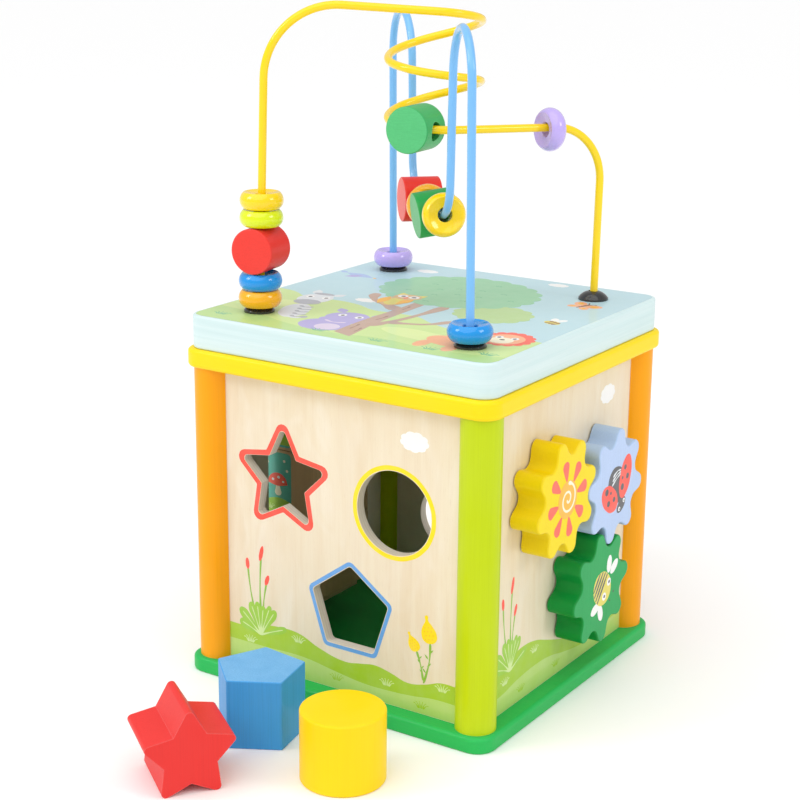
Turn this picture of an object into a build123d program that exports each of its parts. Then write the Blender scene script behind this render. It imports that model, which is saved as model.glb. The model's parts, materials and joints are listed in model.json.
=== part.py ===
"""Wooden activity cube for small children: shape sorter, meshing gears, turning picture blocks,
a sliding knob and a bead maze on a lift-off lid.

Millimetres.  Origin at the centre of the base board's underside, +Z up.  The shape sorter is the
front (-Y), the gears are on the right (+X), the knob on the back (+Y), the blocks on the left (-X).
"""
import os
from math import acos, atan2, ceil, cos, degrees, floor, hypot, pi, radians, sin, sqrt

from build123d import *

# ---- driving dimensions -------------------------------------------------------------------
base_width = 181.0
base_thickness = 8.0
board_corner = 10.0
board_edge = 2.0

post_diameter = 20.0
post_centre = 78.0
post_height = 155.4
groove_depth = 4.0
groove_play = 0.05

panel_outer_face = 81.0
panel_thickness = 5.5
panel_half_width = 72.0

frame_width = 180.0
frame_thickness = 9.5
frame_opening = 130.0
frame_opening_corner = 8.0

lid_width = 175.4
lid_thickness = 17.0
lid_corner = 9.0
lid_edge = 1.2
plug_thickness = 8.5
plug_play = 0.5
lid_screw_spacing = 100.0

wire_diameter = 4.0
wire_socket_diameter = 4.8
wire_socket_depth = 12.0
wire_socket_bottom_play = 0.4
cap_diameter = 15.5
cap_height = 4.5
cap_shoulder = (5.1, 3.5)
cap_rim = 1.0

disc_diameter = 21.7
disc_thickness = 8.5
disc_bore = 7.0
disc_crest_diameter = 17.4
disc_dish_depth = 1.5
disc_edge = 0.7
disc_seat = 1.6
barrel_diameter = 22.7
barrel_length = 19.5
barrel_bore = 9.4
barrel_edge = 0.7
bead_gap = 0.15

gear_teeth = 8
gear_thickness = 15.0
gear_gap = 0.8
gear_spacing = 52.8
tooth_tip_radius = 4.6
tooth_tip_centre = 25.3
tooth_root_radius = 5.2
tooth_root_centre = 27.4
gear_edge = 0.9
peg_diameter = 8.0
peg_play = 0.1
peg_reach = 10.5
gear_bore_depth = 11.5
washer_diameter = 15.0
washer_thickness = 0.6

block_width = 44.0
block_height = 38.4
block_corner = 5.0
block_gap = 0.5
block_count = 3
block_axis = (-66.0, -9.5)
block_bottom = 30.0
rod_diameter = 5.0
rod_play = 0.1
washer_gap = 0.25
rail_thickness = 8.0
rail_width = 20.0
rail_length = 50.0
window_half_width = 28.5
window_side_gap = 2.0
window_corner = 4.0

star_centre = (-33.4, 111.9)
star_tip = 27.6
star_notch = 13.8
round_centre = (32.4, 107.6)
round_diameter = 42.2
pentagon_centre = (7.0, 51.5)
pentagon_radius = 23.6
hole_corner = 2.2

peek_centre = (-32.0, 46.0)
peek_diameter = 40.0
slot_x = 34.0
slot_bottom = 52.0
slot_top = 132.0
slot_width = 9.0
knob_diameter = 30.0
knob_thickness = 11.0
knob_rim = 3.7
knob_back_rim = 1.0
knob_neck = 7.6
keeper_diameter = 22.0
keeper_thickness = 4.0
knob_play = 0.4

sorter_block_height = 35.0
sorter_cylinder_diameter = 40.0
sorter_pentagon_radius = 22.4
sorter_star_tip = 24.3
sorter_star_notch = 13.0
sorter_edge = 1.2
pentagon_rim = 0.7

screw_diameter = 3.5
screw_head = 7.0
screw_length = 30.0
lid_screw_length = 18.0

# ---- levels worked out from the above ------------------------------------------------------
frame_bottom = base_thickness + post_height
frame_top = frame_bottom + frame_thickness
lid_top = frame_top + lid_thickness
panel_inner_face = panel_outer_face - panel_thickness
panel_height = post_height
bead_floor = lid_top + cap_height
gear_back = panel_outer_face + gear_gap
stack_bottom = bead_floor - disc_seat

os.makedirs("parts", exist_ok=True)


def save(piece, name):
    """Label a finished piece and write it as one STEP file."""
    piece.label = name
    export_step(piece, f"parts/{name}.step")


# ---- base, posts, frame -------------------------------------------------------------------
with BuildPart() as base_board:
    with BuildSketch():
        RectangleRounded(base_width, base_width, board_corner)
    extrude(amount=base_thickness)
    fillet(base_board.edges().group_by(Axis.Z)[-1], board_edge)
    fillet(base_board.edges().group_by(Axis.Z)[0], board_edge / 2)
    with Locations(Plane(origin=(0, 0, 0), z_dir=(0, 0, -1))):
        with GridLocations(2 * post_centre, 2 * post_centre, 2, 2):
            CounterSinkHole(screw_diameter / 2, screw_head / 2)
save(base_board.part, "base_board")


def make_post(side_x, side_y):
    """One corner dowel with a groove for each of the two panels that meet in it."""
    centre_x = side_x * post_centre
    centre_y = side_y * post_centre
    groove = panel_thickness + 2 * groove_play
    panel_middle = panel_outer_face - panel_thickness / 2
    groove_middle = panel_half_width - groove_depth
    with BuildPart() as post:
        with BuildSketch(Plane.XY.offset(base_thickness)):
            with Locations((centre_x, centre_y)):
                Circle(post_diameter / 2)
            with Locations((side_x * groove_middle, side_y * panel_middle)):
                Rectangle(2 * groove_depth, groove, mode=Mode.SUBTRACT)
            with Locations((side_x * panel_middle, side_y * groove_middle)):
                Rectangle(groove, 2 * groove_depth, mode=Mode.SUBTRACT)
            with Locations((centre_x, centre_y)):
                Circle(screw_diameter / 2, mode=Mode.SUBTRACT)
        extrude(amount=post_height)
    return post.part


for post_name, side_x, side_y in (
    ("post_front_left", -1, -1),
    ("post_front_right", 1, -1),
    ("post_back_right", 1, 1),
    ("post_back_left", -1, 1),
):
    save(make_post(side_x, side_y), post_name)

with BuildPart() as top_frame:
    with BuildSketch(Plane.XY.offset(frame_bottom)):
        RectangleRounded(frame_width, frame_width, board_corner)
    extrude(amount=frame_thickness)
    fillet(top_frame.edges().group_by(Axis.Z)[-1], board_edge)
    fillet(top_frame.edges().group_by(Axis.Z)[0], board_edge)
    with BuildSketch(Plane.XY.offset(frame_bottom)):
        RectangleRounded(frame_opening, frame_opening, frame_opening_corner)
    extrude(amount=frame_thickness, mode=Mode.SUBTRACT)
    with Locations(Plane.XY.offset(frame_top)):
        with GridLocations(2 * post_centre, 2 * post_centre, 2, 2):
            CounterSinkHole(screw_diameter / 2, screw_head / 2)
save(top_frame.part, "top_frame")


def make_screws(plane, spacing, length):
    """Four identical countersunk screws, heads flush with the plane and shanks going into it."""
    with BuildPart() as screws:
        with Locations(*[plane * place for place in GridLocations(spacing, spacing, 2, 2)]):
            Cylinder(screw_diameter / 2, length, align=(Align.CENTER, Align.CENTER, Align.MAX))
            Cone(
                screw_diameter / 2,
                screw_head / 2,
                (screw_head - screw_diameter) / 2,
                align=(Align.CENTER, Align.CENTER, Align.MAX),
            )
    return screws.part


save(make_screws(Plane(origin=(0, 0, 0), z_dir=(0, 0, -1)), 2 * post_centre, screw_length), "base_screws")
save(make_screws(Plane.XY.offset(frame_top), 2 * post_centre, screw_length), "frame_screws")

# ---- side panels ---------------------------------------------------------------------------
# Each panel is drawn upright on its outer face, which looks outwards.
front_plane = Plane(origin=(0, -panel_outer_face, 0), x_dir=(1, 0, 0), z_dir=(0, -1, 0))
right_plane = Plane(origin=(panel_outer_face, 0, 0), x_dir=(0, 1, 0), z_dir=(1, 0, 0))
back_plane = Plane(origin=(0, panel_outer_face, 0), x_dir=(-1, 0, 0), z_dir=(0, 1, 0))
left_plane = Plane(origin=(-panel_outer_face, 0, 0), x_dir=(0, -1, 0), z_dir=(-1, 0, 0))
panel_middle_height = base_thickness + panel_height / 2


def star_points(tip, notch):
    """Corners of an upright five-pointed star about the origin."""
    corners = []
    for step in range(10):
        reach = tip if step % 2 == 0 else notch
        turn = radians(90 + 36 * step)
        corners.append((reach * cos(turn), reach * sin(turn)))
    return corners


with BuildSketch() as star_outline:
    Polygon(*star_points(star_tip, star_notch), align=None)
    fillet(star_outline.vertices().filter_by(lambda v: hypot(v.X, v.Y) > star_notch + 1), hole_corner)

with BuildSketch() as pentagon_outline:
    RegularPolygon(pentagon_radius, 5, rotation=90)
    fillet(pentagon_outline.vertices(), hole_corner)

with BuildPart() as front_panel:
    with BuildSketch(front_plane):
        with Locations((0, panel_middle_height)):
            Rectangle(2 * panel_half_width, panel_height)
        with Locations(star_centre):
            add(star_outline.sketch, mode=Mode.SUBTRACT)
        with Locations(round_centre):
            Circle(round_diameter / 2, mode=Mode.SUBTRACT)
        with Locations(pentagon_centre):
            add(pentagon_outline.sketch, mode=Mode.SUBTRACT)
    extrude(amount=-panel_thickness)
save(front_panel.part, "front_panel")

# The blue gear sits between the other two and drives both.
yellow_gear_centre = (-27.3, 112.1)
blue_gear_centre = (25.0, 104.0)
green_gear_centre = (13.4, 52.5)
gear_centres = (yellow_gear_centre, blue_gear_centre, green_gear_centre)

with BuildPart() as right_panel:
    with BuildSketch(right_plane):
        with Locations((0, panel_middle_height)):
            Rectangle(2 * panel_half_width, panel_height)
        with Locations(*gear_centres):
            Circle(peg_diameter / 2, mode=Mode.SUBTRACT)
    extrude(amount=-panel_thickness)
save(right_panel.part, "right_panel")

with BuildPart() as back_panel:
    with BuildSketch(back_plane):
        with Locations((0, panel_middle_height)):
            Rectangle(2 * panel_half_width, panel_height)
        with Locations((-peek_centre[0], peek_centre[1])):
            Circle(peek_diameter / 2, mode=Mode.SUBTRACT)
        with Locations((-slot_x, (slot_bottom + slot_top) / 2)):
            SlotOverall(slot_top - slot_bottom, slot_width, rotation=90, mode=Mode.SUBTRACT)
    extrude(amount=-panel_thickness)
save(back_panel.part, "back_panel")

stack_height = block_count * block_height + (block_count - 1) * block_gap
window_height = stack_height + 2 * window_side_gap
window_middle = block_bottom + stack_height / 2

with BuildPart() as left_panel:
    with BuildSketch(left_plane):
        with Locations((0, panel_middle_height)):
            Rectangle(2 * panel_half_width, panel_height)
        with Locations((-block_axis[1], window_middle)):
            RectangleRounded(2 * window_half_width, window_height, window_corner, mode=Mode.SUBTRACT)
    extrude(amount=-panel_thickness)
save(left_panel.part, "left_panel")

# ---- gears ---------------------------------------------------------------------------------
def around(reach, turn):
    """A point at that distance and angle from the origin."""
    return (reach * cos(radians(turn)), reach * sin(radians(turn)))


half_pitch = 180 / gear_teeth
root_centre_x, root_centre_y = around(tooth_root_centre, half_pitch)
centre_gap = hypot(root_centre_x - tooth_tip_centre, root_centre_y)
gap_angle = degrees(atan2(root_centre_y, root_centre_x - tooth_tip_centre))
flank_angle = gap_angle - degrees(acos((tooth_tip_radius + tooth_root_radius) / centre_gap))


def make_gear(centre, phase):
    """A round-toothed wooden gear with a blind bore in its back; one tooth points at the phase."""
    gear_plane = Plane(origin=(gear_back, centre[0], centre[1]), x_dir=(0, 1, 0), z_dir=(1, 0, 0))
    with BuildPart() as gear:
        with BuildSketch(gear_plane):
            with BuildLine():
                tips = []
                roots = []
                for tooth in range(gear_teeth):
                    tip_turn = phase + 2 * half_pitch * tooth
                    root_turn = tip_turn + half_pitch
                    tips.append(
                        CenterArc(
                            around(tooth_tip_centre, tip_turn),
                            tooth_tip_radius,
                            tip_turn - flank_angle,
                            2 * flank_angle,
                        )
                    )
                    roots.append(
                        CenterArc(
                            around(tooth_root_centre, root_turn),
                            tooth_root_radius,
                            tip_turn + flank_angle + 180,
                            2 * half_pitch - 2 * flank_angle,
                        )
                    )
                for tooth in range(gear_teeth):
                    Line(tips[tooth] @ 1, roots[tooth] @ 0)
                    Line(roots[tooth] @ 1, tips[(tooth + 1) % gear_teeth] @ 0)
            make_face()
        extrude(amount=gear_thickness)
        fillet(gear.edges().group_by(Axis.X)[-1], gear_edge)
        with BuildSketch(gear_plane):
            Circle(peg_diameter / 2 + peg_play)
        extrude(amount=gear_bore_depth, mode=Mode.SUBTRACT)
    return gear.part


def bearing(start, end):
    """Direction from one gear centre to another, in degrees."""
    return degrees(atan2(end[1] - start[1], end[0] - start[0]))


# Each gear is turned so that its tooth stands in a gap of the gear that it meshes with.
to_yellow = bearing(blue_gear_centre, yellow_gear_centre)
to_green = bearing(blue_gear_centre, green_gear_centre)
blue_phase = to_yellow
yellow_phase = to_yellow + 180 + half_pitch
green_phase = to_green + 180 + half_pitch - (blue_phase - to_green)
save(make_gear(yellow_gear_centre, yellow_phase), "yellow_gear")
save(make_gear(blue_gear_centre, blue_phase), "blue_gear")
save(make_gear(green_gear_centre, green_phase), "green_gear")

with BuildPart() as gear_pegs:
    with BuildSketch(right_plane.offset(-panel_thickness)):
        with Locations(*gear_centres):
            Circle(peg_diameter / 2)
    extrude(amount=panel_thickness + gear_gap + peg_reach)
save(gear_pegs.part, "gear_pegs")

with BuildPart() as gear_washers:
    with BuildSketch(right_plane):
        with Locations(*gear_centres):
            Circle(washer_diameter / 2)
            Circle(peg_diameter / 2 + peg_play, mode=Mode.SUBTRACT)
    extrude(amount=washer_thickness)
save(gear_washers.part, "gear_washers")

# ---- turning picture blocks ----------------------------------------------------------------
lower_rail_top = block_bottom - window_side_gap
upper_rail_bottom = block_bottom + stack_height + window_side_gap
block_names = ("picture_block_bottom", "picture_block_middle", "picture_block_top")

for level, block_name in enumerate(block_names):
    block_floor = block_bottom + level * (block_height + block_gap)
    with BuildPart() as picture_block:
        with BuildSketch(Plane.XY.offset(block_floor)):
            with Locations(block_axis):
                RectangleRounded(block_width, block_width, block_corner)
                Circle(rod_diameter / 2 + rod_play, mode=Mode.SUBTRACT)
        extrude(amount=block_height)
    save(picture_block.part, block_name)

for rail_name, rail_floor in (
    ("rod_rail_lower", lower_rail_top - rail_thickness),
    ("rod_rail_upper", upper_rail_bottom),
):
    with BuildPart() as rail:
        with BuildSketch(Plane.XY.offset(rail_floor)):
            with Locations((-panel_inner_face + rail_width / 2, block_axis[1])):
                Rectangle(rail_width, rail_length)
            with Locations(block_axis):
                Circle(rod_diameter / 2, mode=Mode.SUBTRACT)
        extrude(amount=rail_thickness)
    save(rail.part, rail_name)

with BuildPart() as block_rod:
    with BuildSketch(Plane.XY.offset(lower_rail_top - rail_thickness)):
        with Locations(block_axis):
            Circle(rod_diameter / 2)
    extrude(amount=upper_rail_bottom - lower_rail_top + 2 * rail_thickness)
save(block_rod.part, "block_rod")

with BuildPart() as rod_washers:
    for washer_floor in (lower_rail_top, block_bottom + stack_height + washer_gap):
        with BuildSketch(Plane.XY.offset(washer_floor)):
            with Locations(block_axis):
                Circle(washer_diameter / 2)
                Circle(rod_diameter / 2 + rod_play, mode=Mode.SUBTRACT)
        extrude(amount=window_side_gap - washer_gap)
save(rod_washers.part, "rod_washers")

# ---- sliding knob on the back --------------------------------------------------------------
# At rest the knob's neck stands just above the slot's lower end.
slot_end_play = 0.8
knob_rest = slot_bottom + knob_neck / 2 + slot_end_play
knob_travel = slot_top - slot_bottom - knob_neck - 2 * slot_end_play
knob_plane = Plane(origin=(slot_x, panel_outer_face, knob_rest), x_dir=(-1, 0, 0), z_dir=(0, 1, 0))
neck_length = panel_thickness + 2 * knob_play

with BuildPart() as slide_knob:
    with BuildSketch(knob_plane.offset(knob_play)):
        Circle(knob_diameter / 2)
    extrude(amount=knob_thickness)
    fillet(slide_knob.edges().group_by(Axis.Y)[-1], knob_rim)
    fillet(slide_knob.edges().group_by(Axis.Y)[0], knob_back_rim)
    with BuildSketch(knob_plane.offset(knob_play)):
        Circle(knob_neck / 2)
    extrude(amount=-neck_length)
save(slide_knob.part, "slide_knob")

with BuildPart() as knob_keeper:
    with BuildSketch(knob_plane.offset(knob_play - neck_length)):
        Circle(keeper_diameter / 2)
    extrude(amount=-keeper_thickness)
    fillet(knob_keeper.edges().group_by(Axis.Y)[0], knob_back_rim)
save(knob_keeper.part, "knob_keeper")

# ---- lid -----------------------------------------------------------------------------------
wire_feet = ((-61.5, -61.8), (-63.7, 62.5), (62.0, -63.0), (62.0, 60.0))

with BuildPart() as lid_board:
    with BuildSketch(Plane.XY.offset(frame_top)):
        RectangleRounded(lid_width, lid_width, lid_corner)
    extrude(amount=lid_thickness)
    fillet(lid_board.edges().group_by(Axis.Z)[-1], lid_edge)
    fillet(lid_board.edges().group_by(Axis.Z)[0], lid_edge)
    with BuildSketch(Plane.XY.offset(lid_top)):
        with Locations(*wire_feet):
            Circle(wire_socket_diameter / 2)
    extrude(amount=-wire_socket_depth - wire_socket_bottom_play, mode=Mode.SUBTRACT)
    with BuildSketch(Plane.XY.offset(frame_top)):
        with GridLocations(lid_screw_spacing, lid_screw_spacing, 2, 2):
            Circle(screw_diameter / 2)
    extrude(amount=lid_screw_length - plug_thickness, mode=Mode.SUBTRACT)
save(lid_board.part, "lid_board")

with BuildPart() as lid_plug:
    with BuildSketch(Plane.XY.offset(frame_top - plug_thickness)):
        RectangleRounded(
            frame_opening - 2 * plug_play, frame_opening - 2 * plug_play, frame_opening_corner - plug_play
        )
    extrude(amount=plug_thickness)
    with Locations(Plane(origin=(0, 0, frame_top - plug_thickness), z_dir=(0, 0, -1))):
        with GridLocations(lid_screw_spacing, lid_screw_spacing, 2, 2):
            CounterSinkHole(screw_diameter / 2, screw_head / 2)
save(lid_plug.part, "lid_plug")

plug_underside = Plane(origin=(0, 0, frame_top - plug_thickness), z_dir=(0, 0, -1))
save(make_screws(plug_underside, lid_screw_spacing, lid_screw_length), "lid_screws")

with BuildPart() as wire_caps:
    with BuildSketch(Plane.XZ) as cap_section:
        with BuildLine():
            crown = ThreePointArc(
                (wire_socket_diameter / 2, cap_height),
                cap_shoulder,
                (cap_diameter / 2, cap_rim),
            )
            Polyline(crown @ 1, (cap_diameter / 2, 0), (wire_socket_diameter / 2, 0), crown @ 0)
        make_face()
    one_cap = revolve(cap_section.sketch, Axis.Z, mode=Mode.PRIVATE)
    for foot in wire_feet:
        with Locations((foot[0], foot[1], lid_top)):
            add(one_cap)
save(wire_caps.part, "wire_caps")

# ---- bead wires ----------------------------------------------------------------------------
# Both wires are bent by hand, so their legs lean a little.
wire_end = lid_top - wire_socket_depth
loop_top = 332.5
loop_bend = 23.0
dip_bend = 17.0
dip_reach = 42.0
dip_aside = -0.5
dip_height_back = 242.6
dip_height_front = 240.0


def across(along, aside, height):
    """A point over the diagonal that runs from the back left to the front right corner."""
    return ((along + aside) / sqrt(2), (aside - along) / sqrt(2), height)


blue_corners = (
    (wire_feet[1][0], wire_feet[1][1], wire_end),
    across(-90.0, -2.0, loop_top),
    across(-dip_reach, -1.8, loop_top),
    across(-dip_reach, dip_aside, dip_height_back),
    across(dip_reach, dip_aside, dip_height_front),
    across(42.5, 0.2, loop_top),
    across(89.0, -2.7, loop_top),
    (wire_feet[2][0], wire_feet[2][1], wire_end),
)
blue_bends = (loop_bend, loop_bend, dip_bend, dip_bend, loop_bend, loop_bend)

coil_centre = (0.8, 0.2)
coil_radius = 22.8
coil_steps = 17
coil_bend_share = 0.96
# Heights of the coil at each quarter turn, from the top down.
coil_heights = (338.2, 332.5, 322.5, 313.3, 308.0, 303.3, 293.3, 284.3, 281.3, 280.4)
arch_top = (-57.6, -59.5, 341.6)
arch_bend = 36.0
shoulder = (62.8, 61.4, 279.0)
shoulder_bend = 28.0


def tangent_turn(point, side):
    """Angle about the coil's centre where a straight run to the point leaves the coil."""
    offset_x = point[0] - coil_centre[0]
    offset_y = point[1] - coil_centre[1]
    return atan2(offset_y, offset_x) + side * acos(coil_radius / hypot(offset_x, offset_y))


def coil_height(quarter):
    """Height of the coil after so many quarter turns."""
    lower = floor(quarter)
    return coil_heights[lower] + (quarter - lower) * (coil_heights[lower + 1] - coil_heights[lower])


coil_start = tangent_turn(arch_top, 1)
coil_end = tangent_turn(shoulder, -1)
coil_end += 2 * pi * ceil((coil_start + 4 * pi - coil_end) / (2 * pi))
coil_step = (coil_end - coil_start) / coil_steps
coil_reach = coil_radius / cos(coil_step / 2)
coil_corners = []
for step in range(coil_steps):
    travel = (step + 0.5) * coil_step
    coil_corners.append(
        (
            coil_centre[0] + coil_reach * cos(coil_start + travel),
            coil_centre[1] + coil_reach * sin(coil_start + travel),
            coil_height(travel / (pi / 2)),
        )
    )
yellow_corners = (
    (wire_feet[0][0], wire_feet[0][1], wire_end),
    arch_top,
    *coil_corners,
    shoulder,
    (wire_feet[3][0], wire_feet[3][1], wire_end),
)
yellow_bends = (arch_bend, *[coil_bend_share * coil_radius] * coil_steps, shoulder_bend)


def make_wire(corners, bends):
    """A round rod of straight runs joined by tangent bends."""
    with BuildPart() as wire:
        with BuildLine() as route:
            FilletPolyline(*corners, radius=bends)
        with BuildSketch(Plane(origin=route.wire() @ 0, z_dir=route.wire() % 0)):
            Circle(wire_diameter / 2)
        sweep(path=route.wire())
    volume_by_length = pi * wire_diameter**2 / 4 * route.wire().length
    print(f"wire length {route.wire().length:.0f} mm, volume ratio {wire.part.volume / volume_by_length:.3f}")
    return wire.part


save(make_wire(blue_corners, blue_bends), "blue_wire")
save(make_wire(yellow_corners, yellow_bends), "yellow_wire")

# ---- beads ---------------------------------------------------------------------------------
crest_point = (disc_crest_diameter / 2, disc_thickness / 2)
throat_point = (disc_bore / 2, disc_thickness / 2 - disc_dish_depth)
hollow_point = (
    (crest_point[0] + throat_point[0]) / 2,
    (crest_point[1] + throat_point[1]) / 2 - disc_dish_depth / 6,
)


def below(point):
    """The same point on the underside of a bead's section."""
    return (point[0], -point[1])


with BuildPart() as disc_bead:
    with BuildSketch(Plane.XZ) as disc_section:
        with BuildLine():
            ThreePointArc(crest_point, (disc_diameter / 2, 0), below(crest_point))
            ThreePointArc(below(crest_point), below(hollow_point), below(throat_point))
            Line(below(throat_point), throat_point)
            ThreePointArc(throat_point, hollow_point, crest_point)
        make_face()
        fillet(disc_section.vertices(), disc_edge)
    revolve(axis=Axis.Z)

with BuildPart() as barrel_bead:
    with BuildSketch(Plane.YZ.offset(-barrel_length / 2)):
        Circle(barrel_diameter / 2)
    extrude(amount=barrel_length)
    fillet(barrel_bead.edges(), barrel_edge)
    with BuildSketch(Plane.XY.offset(-barrel_diameter / 2)):
        Circle(barrel_bore / 2)
    extrude(amount=barrel_diameter, mode=Mode.SUBTRACT)


def place_bead(master, name, centre, bore_axis, across_axis):
    """A copy of a bead with its bore on the given axis; a barrel lies along the across axis."""
    with BuildPart() as bead:
        with Locations(Plane(origin=centre, x_dir=across_axis, z_dir=bore_axis)):
            add(master.part)
    save(bead.part, name)


def leg_point(foot, corner, height):
    """Where a straight leg of wire passes a height."""
    share = (height - wire_end) / (corner[2] - wire_end)
    return (foot[0] + share * (corner[0] - foot[0]), foot[1] + share * (corner[1] - foot[1]), height)


# Five beads are stacked on the front left leg.
stack = (
    (disc_bead, "stack_orange_disc", disc_thickness, 0),
    (disc_bead, "stack_blue_disc", disc_thickness, 0),
    (barrel_bead, "stack_red_barrel", barrel_diameter, -82),
    (disc_bead, "stack_lime_disc", disc_thickness, 0),
    (disc_bead, "stack_yellow_disc", disc_thickness, 0),
)
bead_level = stack_bottom
for master, bead_name, bead_rise, turn in stack:
    centre = leg_point(wire_feet[0], arch_top, bead_level + bead_rise / 2)
    place_bead(master, bead_name, centre, (0, 0, 1), (cos(radians(turn)), sin(radians(turn)), 0))
    bead_level += bead_rise + bead_gap

# One disc rests on each of the blue wire's caps.
disc_height = stack_bottom + disc_thickness / 2
for bead_name, foot, corner in (
    ("back_purple_disc", wire_feet[1], blue_corners[1]),
    ("front_blue_disc", wire_feet[2], blue_corners[-2]),
):
    place_bead(disc_bead, bead_name, leg_point(foot, corner, disc_height), (0, 0, 1), (1, 0, 0))

# Four beads hang in the dip between the two loops; the front one leans on its neighbour.
dip_tilt = radians(10)
dip_axis = across(1, 0, 0)
dip_across = across(0, 1, 0)
barrel_roll = radians(8)
lean_gap = 0.4
lean_reach = cos(dip_tilt) * disc_thickness / 2 + sin(dip_tilt) * disc_crest_diameter / 2
yellow_along = 30.2
green_along = yellow_along - lean_reach - lean_gap - barrel_diameter / 2
orange_along = green_along - barrel_diameter / 2 - bead_gap - disc_thickness / 2
red_along = orange_along - disc_thickness / 2 - bead_gap - barrel_diameter / 2


def dip_place(along, aside, drop):
    """A point beside and below the dip's wire."""
    share = (along + dip_reach) / (2 * dip_reach)
    height = dip_height_back + share * (dip_height_front - dip_height_back)
    return across(along, dip_aside + aside, height - drop)


dip_beads = (
    (
        disc_bead,
        "dip_yellow_disc",
        dip_place(yellow_along, 0, -0.8),
        across(cos(dip_tilt), 0, sin(dip_tilt)),
        dip_across,
    ),
    (
        barrel_bead,
        "dip_green_barrel",
        dip_place(green_along, -0.8, 1.6),
        dip_axis,
        across(0, cos(barrel_roll), sin(barrel_roll)),
    ),
    (disc_bead, "dip_orange_disc", dip_place(orange_along, -0.7, 1.0), dip_axis, dip_across),
    (barrel_bead, "dip_red_barrel", dip_place(red_along, -1.2, 0.8), dip_axis, dip_across),
)
for master, bead_name, centre, bore_axis, across_axis in dip_beads:
    place_bead(master, bead_name, centre, bore_axis, across_axis)

# A barrel hangs on the coil's last turn and a disc on the straight run beyond it.
coil_bead_turn = radians(-82)
coil_bead_yaw = radians(-3)
coil_bead_travel = coil_bead_turn + 4 * pi - coil_start
coil_bead_inset = 1.45
coil_bead_reach = coil_radius - coil_bead_inset
coil_bead_sag = 0.5
coil_bead_slope = (coil_heights[8] - coil_heights[7]) / (coil_radius * pi / 2)
coil_bead_facing = coil_bead_turn + coil_bead_yaw
coil_bead_centre = (
    coil_centre[0] + coil_bead_reach * cos(coil_bead_turn),
    coil_centre[1] + coil_bead_reach * sin(coil_bead_turn),
    coil_height(coil_bead_travel / (pi / 2)) - coil_bead_sag,
)
coil_bead_axis = (-sin(coil_bead_facing), cos(coil_bead_facing), coil_bead_slope)
place_bead(
    barrel_bead,
    "coil_green_barrel",
    coil_bead_centre,
    coil_bead_axis,
    (cos(coil_bead_facing), sin(coil_bead_facing), 0),
)

run_disc_back = 31.0
run_sag = 1.0
run_start = Vector(*coil_corners[-1])
run_axis = (Vector(*shoulder) - run_start).normalized()
run_disc_centre = Vector(*shoulder) - run_axis * run_disc_back - Vector(0, 0, run_sag)
place_bead(disc_bead, "run_purple_disc", run_disc_centre, run_axis, run_axis.cross(Vector(0, 0, 1)))

# ---- loose blocks for the shape sorter -------------------------------------------------------
# They stand on the floor in front of the cube.
with BuildPart() as cylinder_block:
    with BuildSketch():
        with Locations((45.9, -142.2)):
            Circle(sorter_cylinder_diameter / 2)
    extrude(amount=sorter_block_height)
    fillet(cylinder_block.edges().filter_by(GeomType.CIRCLE), sorter_edge)
save(cylinder_block.part, "cylinder_block")

with BuildPart() as pentagon_block:
    with BuildSketch() as pentagon_floor:
        with Locations((-13.1, -127.7)):
            RegularPolygon(sorter_pentagon_radius, 5, rotation=47.3)
        fillet(pentagon_floor.vertices(), sorter_edge)
    extrude(amount=sorter_block_height)
    fillet(pentagon_block.edges().group_by(Axis.Z)[-1], pentagon_rim)
    fillet(pentagon_block.edges().group_by(Axis.Z)[0], pentagon_rim)
save(pentagon_block.part, "pentagon_block")

star_turn = radians(54)
arm_slope = atan2(sorter_star_notch * sin(pi / 5), sorter_star_tip - sorter_star_notch * cos(pi / 5))
star_stand = (sorter_star_tip - hole_corner / sin(arm_slope)) * sin(radians(54)) + hole_corner
star_plane = Plane(
    origin=(-1.2, -193.4, star_stand),
    x_dir=(cos(star_turn), sin(star_turn), 0),
    z_dir=(sin(star_turn), -cos(star_turn), 0),
)
with BuildPart() as star_block:
    with BuildSketch(star_plane):
        with BuildSketch(mode=Mode.PRIVATE) as star_face:
            Polygon(*star_points(sorter_star_tip, sorter_star_notch), align=None)
            fillet(
                star_face.vertices().filter_by(lambda v: hypot(v.X, v.Y) > sorter_star_notch + 1), hole_corner
            )
        add(star_face.sketch)
    extrude(amount=-sorter_block_height)
save(star_block.part, "star_block")
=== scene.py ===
"""Looks of the wooden activity cube: lacquer, bare birch, coated wire and printed pictures."""
import json
from math import cos, hypot, pi, radians, sin, tau

import bmesh
import bpy
from mathutils import Matrix, Vector


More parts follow.
